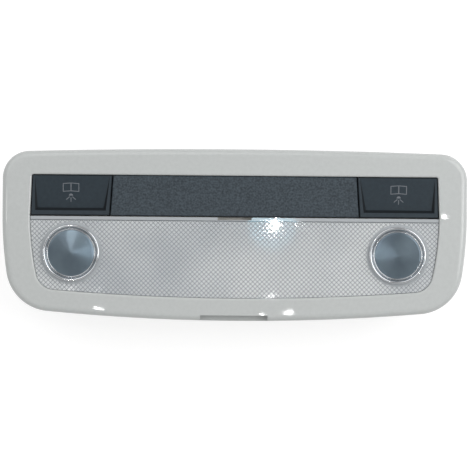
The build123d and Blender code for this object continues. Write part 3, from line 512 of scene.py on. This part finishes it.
def dress(node: bpy.types.Object, finish: Finish) -> None:
    """Gives all material slots of a node or piece one finish.

    Args:
        node: Mesh object.
        finish: What its surface is.
    """
    if not node.material_slots:
        node.data.materials.append(finish.material())
    for slot in node.material_slots:
        slot.material = finish.material()
    log.info("%s is %s", node.name, finish.name)


@dataclass
class Lens:
    """The main lens: the CAD lens with a field of small pyramids moulded into its face.

    Attributes:
        diagonal: Size of one pyramid from corner to corner.
        valley_z: Height of the valleys between pyramids.
        crest_z: Height of the pyramids' flats.
        flat_share: Width of a flat as a share of its pyramid's.
        top_border: Width of the plain border along the switch strip.
        groove: Width and depth of the groove under that border.
        collar: Width of the plain collar round a lamp ring.
        clearance: How far a cutter goes past what it cuts.
    """

    diagonal: float = 2.0 * MM
    valley_z: float = LENS_ACRYLIC.valley_z
    crest_z: float = LENS_ACRYLIC.crest_z
    flat_share: float = 0.68
    top_border: float = 1.4 * MM
    groove: tuple[float, float] = (0.35 * MM, 0.35 * MM)
    collar: float = 1.1 * MM
    clearance: float = 2.0 * MM

    def pyramid_cutter(self) -> bpy.types.Object:
        """Makes a slab whose underside is a diamond field of flat-topped pyramids.

        Returns:
            A closed slab that ends above the lens.
        """
        low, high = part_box("prism_lens")
        pitch = self.diagonal / math.sqrt(2)
        reach = high.x - low.y + 2 * self.clearance
        cells = 2 * math.ceil(reach / self.diagonal)
        start_clean()
        bpy.ops.mesh.primitive_grid_add(x_subdivisions=cells, y_subdivisions=cells, size=cells * pitch)
        slab = bpy.context.object
        bpy.ops.object.mode_set(mode="EDIT")
        bpy.ops.transform.rotate(value=math.pi / 4, orient_axis="Z", center_override=(0, 0, 0))
        bpy.ops.transform.translate(value=(0, 0, self.valley_z))
        for normal, place in (
            ((1, 0, 0), high.x + self.clearance),
            ((-1, 0, 0), high.x + self.clearance),
            ((0, 1, 0), high.y - self.top_border),
            ((0, -1, 0), self.clearance - low.y),
        ):
            bpy.ops.mesh.select_all(action="SELECT")
            bpy.ops.mesh.bisect(plane_co=Vector(normal) * place, plane_no=normal, clear_outer=True)
        bpy.ops.mesh.select_all(action="SELECT")
        bpy.ops.mesh.inset(
            thickness=pitch * (1 - self.flat_share) / 2,
            depth=self.crest_z - self.valley_z,
            use_individual=True,
        )
        bpy.context.tool_settings.mesh_select_mode = (False, True, False)
        bpy.ops.mesh.select_all(action="DESELECT")
        bpy.ops.mesh.select_non_manifold()
        bpy.ops.mesh.extrude_region_move(TRANSFORM_OT_translate={"value": (0, 0, self.clearance)})
        bpy.ops.mesh.edge_face_add()
        return finish_mesh(slab, "pyramid_cutter")

    def collar_plug(self, side: Side) -> bpy.types.Object:
        """Makes a plug that keeps the pyramids off the plain collar round one lamp ring.

        Args:
            side: End of the lamp.

        Returns:
            A closed cylinder through the pyramid cutter.
        """
        low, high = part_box(side.node("lamp_ring"))
        start_clean()
        bpy.ops.mesh.primitive_cylinder_add(
            vertices=TURN_CORNERS,
            radius=(high.x - low.x) / 2 + self.collar,
            depth=4 * self.clearance,
            location=((low.x + high.x) / 2, (low.y + high.y) / 2, self.crest_z),
        )
        return finish_mesh(bpy.context.object, "collar_plug")

    def border_groove(self) -> bpy.types.Object:
        """Makes a bar that cuts the thin groove under the plain top border.

        Returns:
            A closed bar across the lens.
        """
        low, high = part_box("prism_lens")
        width, depth = self.groove
        start_clean()
        bpy.ops.mesh.primitive_cube_add(
            size=1,
            location=(0, high.y - self.top_border - width / 2, high.z),
            scale=(high.x - low.x + self.clearance, width, 2 * depth),
        )
        return finish_mesh(bpy.context.object, "border_groove")

    def build(self) -> bpy.types.Object:
        """Builds the lens in place of its CAD node.

        Returns:
            The finished lens.
        """
        lens = copy_node("prism_lens", "lens_body")
        field_cutter = self.pyramid_cutter()
        for side in Side:
            cut(field_cutter, self.collar_plug(side))
        cut(lens, field_cutter)
        cut(lens, self.border_groove())
        finish_mesh(lens, "lens_with_pyramids")
        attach(lens, "lamp")
        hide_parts("prism_lens")
        dress(lens, LENS_ACRYLIC)
        return lens


@dataclass
class ReadingLamp:
    """One reading lamp: a disc of stepped facets in place of the CAD lens, and finishes for its parts.

    Attributes:
        nodes: CAD nodes by name.
        side: End of the dome light.
        dome_radius: Radius of the raised face.
        edge: Height of the step up to the raised face.
        rim: Width and height of the slope round the facets.
        facet_pitch: Distance from one facet to the next.
        facet_share: Share of the pitch that a facet takes.
        facet_slope: Slope of a facet in degrees.
        smooth_angle: Angle in degrees under which edges are shaded smooth.
    """

    nodes: dict[str, bpy.types.Object]
    side: Side
    dome_radius: float = 9.85 * MM
    edge: float = 0.2 * MM
    rim: tuple[float, float] = (0.35 * MM, 0.15 * MM)
    facet_pitch: float = 0.5 * MM
    facet_share: float = 0.94
    facet_slope: float = 3.7
    smooth_angle: float = 4.0

    def build(self) -> bpy.types.Object:
        """Builds the disc by stepping the top of a turned blank inwards, facet by facet.

        Returns:
            The finished disc.
        """
        node = self.side.node("reading_lens")
        low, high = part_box(node)
        shoulder = (high.x - low.x) / 2
        facets = int((self.dome_radius - self.rim[0]) / self.facet_pitch)
        run = self.facet_pitch * self.facet_share
        rise = run * math.tan(math.radians(self.facet_slope))
        face = high.z - self.edge - self.rim[1] - rise
        middle = (low + high) / 2
        start_clean()
        bpy.ops.mesh.primitive_cylinder_add(
            vertices=TURN_CORNERS,
            radius=shoulder,
            depth=face - low.z,
            location=(middle.x, middle.y, (face + low.z) / 2),
        )
        disc = bpy.context.object
        pick_top(disc)
        bpy.ops.mesh.inset(thickness=shoulder - self.dome_radius)
        bpy.ops.mesh.extrude_region_move(TRANSFORM_OT_translate={"value": (0, 0, self.edge)})
        bpy.ops.mesh.inset(thickness=self.rim[0], depth=self.rim[1])
        for _ in range(facets):
            bpy.ops.mesh.inset(thickness=run, depth=rise)
            bpy.ops.mesh.inset(thickness=self.facet_pitch - run, depth=-rise)
        finish_mesh(disc, self.side.node("reading_disc"), self.smooth_angle)
        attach(disc, "lamp")
        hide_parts(node)
        dress(disc, DISC_SMOKED)
        return disc

    def dress_parts(self) -> None:
        """Gives the ring, reflector, bulb, holder and contact their finishes."""
        dress(self.nodes[self.side.node("lamp_ring")], CHROME)
        dress(self.nodes[self.side.node("reading_reflector")], SILVER_COAT)
        dress(self.nodes[self.side.node("reading_bulb")], BULB_GLASS)
        dress(self.nodes[self.side.node("bulb_holder")], BLACK_NYLON)
        dress(self.nodes[self.side.node("bulb_contact")], BRASS)


@dataclass
class PushButton:
    """One push button: its finish, and a printed sign of an open book and a lamp.

    Attributes:
        nodes: CAD nodes by name.
        side: End of the dome light.
        sign_place: X, without its sign, and Y of the printed sign.
        strip_top: Y at which the finger rest starts to slope down.
        scoop_run: Length of that slope in Y.
        scoop_depth: Depth at the end of that slope.
        line: Width of a printed line.
        ink: Thickness of the ink.
        page: Width and height of a page.
        page_drop: How much lower the outer edge of a page lies.
        book_rise: Y of the book from the sign's middle.
        shade: Radius of the lamp, and Y of its flat side from the sign's middle.
        shade_corners: Corners of the full circle that the lamp is half of.
        ray_angles: Directions of the rays, in degrees from straight up, clockwise.
        ray: Start and end of a ray, from the middle of the lamp's flat side.
    """

    nodes: dict[str, bpy.types.Object]
    side: Side
    sign_place: tuple[float, float] = (70.5 * MM, 18.1 * MM)
    strip_top: float = 25.25 * MM
    scoop_run: float = 15.2 * MM
    scoop_depth: float = 1.6 * MM
    line: float = 0.32 * MM
    ink: float = 0.03 * MM
    page: tuple[float, float] = (3.6 * MM, 3.7 * MM)
    page_drop: float = 0.25 * MM
    book_rise: float = 2.05 * MM
    shade: tuple[float, float] = (0.9 * MM, -1.7 * MM)
    shade_corners: int = 32
    ray_angles: tuple[float, ...] = (130.0, 180.0, 230.0)
    ray: tuple[float, float] = (0.75 * MM, 2.7 * MM)

    def page_frame(self, way: int) -> bpy.types.Object:
        """Draws the outline of one page of the open book.

        Args:
            way: 1 for the right page, -1 for the left.

        Returns:
            A flat outline.
        """
        width, height = self.page
        start_clean()
        bpy.ops.mesh.primitive_plane_add(size=1)
        page = bpy.context.object
        bpy.ops.object.mode_set(mode="EDIT")
        bpy.ops.transform.resize(value=(width, height, 1))
        bpy.ops.transform.translate(value=(way * (width - self.line / 2) / 2, self.book_rise, 0))
        bpy.ops.mesh.inset(thickness=self.line)
        bpy.ops.mesh.delete(type="FACE")
        bpy.context.tool_settings.mesh_select_mode = (True, False, False)
        bpy.ops.object.mode_set(mode="OBJECT")
        for corner in page.data.vertices:
            corner.select = way * corner.co.x > width / 2
        bpy.ops.object.mode_set(mode="EDIT")
        bpy.ops.transform.translate(value=(0, -self.page_drop, 0))
        bpy.ops.object.mode_set(mode="OBJECT")
        return page

    def lamp_shade(self) -> bpy.types.Object:
        """Draws the half-round lamp below the book.

        Returns:
            A flat half disc.
        """
        radius, low = self.shade
        start_clean()
        bpy.ops.mesh.primitive_circle_add(vertices=self.shade_corners, radius=radius, fill_type="NGON")
        shade = bpy.context.object
        bpy.ops.object.mode_set(mode="EDIT")
        bpy.ops.mesh.select_all(action="SELECT")
        bpy.ops.mesh.bisect(plane_co=(0, 0, 0), plane_no=(0, 1, 0), clear_inner=True)
        bpy.ops.mesh.select_all(action="SELECT")
        bpy.ops.transform.translate(value=(0, low, 0))
        bpy.ops.object.mode_set(mode="OBJECT")
        return shade

    def light_ray(self, angle: float) -> bpy.types.Object:
        """Draws one ray of light that leaves the lamp.

        Args:
            angle: Degrees from straight up, clockwise.

        Returns:
            A flat bar.
        """
        start, end = self.ray
        start_clean()
        bpy.ops.mesh.primitive_plane_add(size=1)
        ray = bpy.context.object
        bpy.ops.object.mode_set(mode="EDIT")
        bpy.ops.transform.resize(value=(self.line, end - start, 1))
        bpy.ops.transform.translate(value=(0, (start + end) / 2, 0))
        bpy.ops.object.mode_set(mode="OBJECT")
        ray.rotation_euler.z = -math.radians(angle)
        ray.location.y = self.shade[1]
        bpy.ops.object.transform_apply(location=True, rotation=True, scale=True)
        return ray

    def build_sign(self) -> bpy.types.Object:
        """Joins the strokes of the sign, gives them the ink's thickness and lays them in the finger rest.

        Returns:
            The finished sign.
        """
        strokes = [self.page_frame(way) for way in (-1, 1)]
        strokes.append(self.lamp_shade())
        strokes.extend(self.light_ray(angle) for angle in self.ray_angles)
        take(*strokes)
        bpy.ops.object.join()
        sign = bpy.context.object
        bpy.ops.object.mode_set(mode="EDIT")
        bpy.ops.mesh.select_all(action="SELECT")
        bpy.ops.mesh.extrude_region_move(TRANSFORM_OT_translate={"value": (0, 0, self.ink)})
        bpy.ops.object.mode_set(mode="OBJECT")
        button_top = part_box(self.side.node("button"))[1].z
        slope = self.scoop_depth / self.scoop_run
        x, y = self.sign_place
        floor = button_top - slope * (self.strip_top - y)
        sign.rotation_euler.x = math.atan(slope)
        sign.location = (self.side.value * x, y, floor)
        finish_mesh(sign, self.side.node("reading_sign"))
        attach(sign, self.side.node("button"))
        dress(sign, SIGN_INK)
        return sign

    def dress_parts(self) -> None:
        """Gives the button, its switch and plunger their finishes."""
        dress(self.nodes[self.side.node("button")], BUTTON_ABS)
        dress(self.nodes[self.side.node("press_switch")], BLACK_NYLON)
        dress(self.nodes[self.side.node("switch_plunger")], WHITE_PP)


@dataclass
class Body:
    """The frame, the strip's centre panel and all that lies behind them."""

    nodes: dict[str, bpy.types.Object]
    finishes: dict[str, Finish] = field(
        default_factory=lambda: {
            "frame": FRAME_ABS,
            "centre_panel": STRIP_ABS,
            "switch_carrier": BLACK_NYLON,
            "circuit_board": BOARD_LACQUER,
            "board_screws": SPRING_STEEL,
            "control_chip": BLACK_NYLON,
            "plug_socket": BLACK_NYLON,
            "socket_pins": BRASS,
            "courtesy_reflector": SILVER_COAT,
            "courtesy_bulb": BULB_GLASS,
            "rear_housing": WHITE_PP,
            "roof_clip_left": SPRING_STEEL,
            "roof_clip_right": SPRING_STEEL,
        }
    )

    def dress_parts(self) -> None:
        """Gives each node its finish."""
        for node, finish in self.finishes.items():
            dress(self.nodes[node], finish)


@dataclass(frozen=True)
class SoftBox:
    """An oval area lamp that faces the object.

    Attributes:
        place: Place of the lamp.
        size: Its width and height.
        power: Its power in watts.
        tint: Linear red, green and blue of its light.
    """

    place: tuple[float, float, float]
    size: tuple[float, float]
    power: float
    tint: tuple[float, float, float] = (1.0, 1.0, 1.0)

    def hang(self) -> None:
        """Adds the lamp to the scene."""
        start_clean()
        bpy.ops.object.light_add(type="AREA", location=self.place)
        lamp = bpy.context.object
        lamp.data.shape = "ELLIPSE"
        lamp.data.size, lamp.data.size_y = self.size
        lamp.data.energy = self.power
        lamp.data.color = self.tint
        lamp.rotation_euler = Vector(self.place).to_track_quat("Z", "Y").to_euler()


@dataclass
class Studio:
    """Floor, light and camera: white paper in a pale room, wide soft boxes and small lamps.

    Attributes:
        camera_place: Place of the camera.
        camera_lens: Focal length in millimetres.
        camera_sensor: Width of the sensor in millimetres.
        camera_roll: Turn about the line of sight in degrees.
        camera_near: Distance from which the camera sees.
        floor_size: Side of the paper.
        floor_share: Share of the light that the paper sends back.
        floor_glow: Strength that the paper gains where it is seen directly.
        horizon: Strength of the walls.
        zenith: Strength of the ceiling's middle.
        dark_from: Z of the direction from which the room gets darker.
        boxes: All lamps.
    """

    camera_place: tuple[float, float, float] = (0.22 * MM, 0.06 * MM, 1206 * MM)
    camera_lens: float = 213.7
    camera_sensor: float = 36.0
    camera_roll: float = 0.5
    camera_near: float = 0.01
    floor_size: float = 8.0
    floor_share: float = 0.5
    floor_glow: float = 0.66
    horizon: float = 0.8
    zenith: float = 0.29
    dark_from: float = 0.75
    boxes: tuple[SoftBox, ...] = (
        # Wide, dim boxes for the whole face
        SoftBox((-0.45, 0.65, 0.9), (1.15, 1.15), 2.7),
        SoftBox((0.5, 0.2, 0.55), (0.75, 0.75), 2.8),
        # A lamp far out at each end, for that side of the chrome rings
        SoftBox((-0.75, 0.035, 0.9), (0.1, 0.3), 0.35),
        SoftBox((0.75, 0.04, 0.9), (0.2, 0.3), 0.4),
        # Small lamps near the camera, for the fans on the reading discs
        SoftBox((-0.14, 0.2, 1.19), (0.03, 0.03), 0.22),
        SoftBox((-30 * MM, 40 * MM, 1206 * MM), (20 * MM, 20 * MM), 0.042),
        # A bright lamp beside the camera, for the flash on the lens
        SoftBox((33.3 * MM, 7.5 * MM, 1206 * MM), (7 * MM, 12 * MM), 0.075),
        # Tiny lamps, for short glints on the frame's low band
        SoftBox((46 * MM, -145 * MM, 1156 * MM), (9 * MM, 4 * MM), 0.003),
        SoftBox((-113 * MM, -143 * MM, 1156 * MM), (12 * MM, 4 * MM), 0.0042),
        SoftBox((23.4 * MM, -147 * MM, 1156 * MM), (3 * MM, 3 * MM), 0.0009),
        # The same for the lens's low edge
        SoftBox((30 * MM, -52.5 * MM, 1156 * MM), (12 * MM, 3.5 * MM), 0.0036),
        SoftBox((-115 * MM, -47.5 * MM, 1156 * MM), (4 * MM, 9 * MM), 0.0009),
        SoftBox((-139 * MM, -47 * MM, 1156 * MM), (4 * MM, 9 * MM), 0.0009),
        # The same for the frame's right end and the lens's top edge
        SoftBox((176 * MM, 41 * MM, 1157 * MM), (9 * MM, 4 * MM), 0.0036),
        SoftBox((53 * MM, 9.5 * MM, 1156 * MM), (3 * MM, 3 * MM), 0.0012),
        # A dim bluish lamp, for the glow round the flash
        SoftBox((32 * MM, 8 * MM, 1206 * MM), (42 * MM, 42 * MM), 0.024, (0.35, 0.8, 1.0)),
    )

    def seen_directly(self, tree: bpy.types.NodeTree) -> bpy.types.NodeSocket:
        """Tells what the camera, mirrors and glass see from what only lights the object.

        Args:
            tree: Node tree of the floor.

        Returns:
            A socket that is 1 for rays from the camera, a mirror or glass.
        """
        path = add_node(tree, "LightPath")
        seen = path.outputs["Is Camera Ray"]
        for ray in ("Is Glossy Ray", "Is Transmission Ray"):
            either = {0: seen, 1: path.outputs[ray]}
            seen = add_node(tree, "Math", {"operation": "MAXIMUM"}, either).outputs[0]
        return seen

    def lay_floor(self) -> bpy.types.Object:
        """Lays the white floor under the lamp.

        Returns:
            The floor.
        """
        start_clean()
        bpy.ops.mesh.primitive_plane_add(size=self.floor_size, location=(0, 0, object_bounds()[0][2]))
        floor = bpy.context.object
        floor.name = "floor"
        made = bpy.data.materials.new("white_paper")
        made.use_nodes = True
        tree = made.node_tree
        tree.nodes.clear()
        paper = add_node(tree, "BsdfDiffuse", {"Color": (self.floor_share,) * 3 + (1,)})
        glow = add_node(tree, "Emission", {"Strength": self.floor_glow})
        dark = add_node(tree, "Emission", {"Strength": 0.0})
        shown = add_node(
            tree,
            "MixShader",
            links={0: self.seen_directly(tree), 1: dark.outputs[0], 2: glow.outputs[0]},
        )
        both = add_node(tree, "AddShader", links={0: paper.outputs[0], 1: shown.outputs[0]})
        add_node(tree, "OutputMaterial", links={"Surface": both.outputs[0]})
        floor.data.materials.append(made)
        floor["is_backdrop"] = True
        return floor

    def light_room(self) -> None:
        """Sets the room's light: pale walls all round and a darker ceiling."""
        world = bpy.data.worlds.new("pale_room")
        bpy.context.scene.world = world
        world.use_nodes = True
        tree = world.node_tree
        tree.nodes.clear()
        place = add_node(tree, "TexCoord")
        parts = add_node(tree, "SeparateXYZ", links={"Vector": place.outputs["Generated"]})
        levels = {"From Min": self.dark_from, "To Min": self.horizon, "To Max": self.zenith}
        level = add_node(tree, "MapRange", levels, {"Value": parts.outputs["Z"]})
        room = add_node(tree, "Background", links={"Strength": level.outputs[0]})
        add_node(tree, "OutputWorld", links={"Surface": room.outputs[0]})

    def place_camera(self) -> bpy.types.Object:
        """Sets the camera straight in front of the lit face, as far off as the photograph's.

        Returns:
            The camera.
        """
        start_clean()
        bpy.ops.object.camera_add(location=self.camera_place, rotation=(0, 0, math.radians(self.camera_roll)))
        camera = bpy.context.object
        camera.data.lens = self.camera_lens
        camera.data.sensor_width = self.camera_sensor
        camera.data.clip_start = self.camera_near
        bpy.context.scene.camera = camera
        return camera

    def build(self) -> None:
        """Sets up the whole studio."""
        bpy.context.scene.view_settings.view_transform = "Standard"
        self.lay_floor()
        self.light_room()
        for box in self.boxes:
            box.hang()
        self.place_camera()


def main() -> None:
    """Builds the looks of the dome light."""
    logging.basicConfig(level=logging.INFO, format="%(message)s")
    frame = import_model()
    nodes = frame["nodes"]
    Body(nodes).dress_parts()
    Lens().build()
    for side in Side:
        lamp = ReadingLamp(nodes, side)
        lamp.build()
        lamp.dress_parts()
        button = PushButton(nodes, side)
        button.build_sign()
        button.dress_parts()
    Studio().build()


if __name__ == "__main__":
    main()
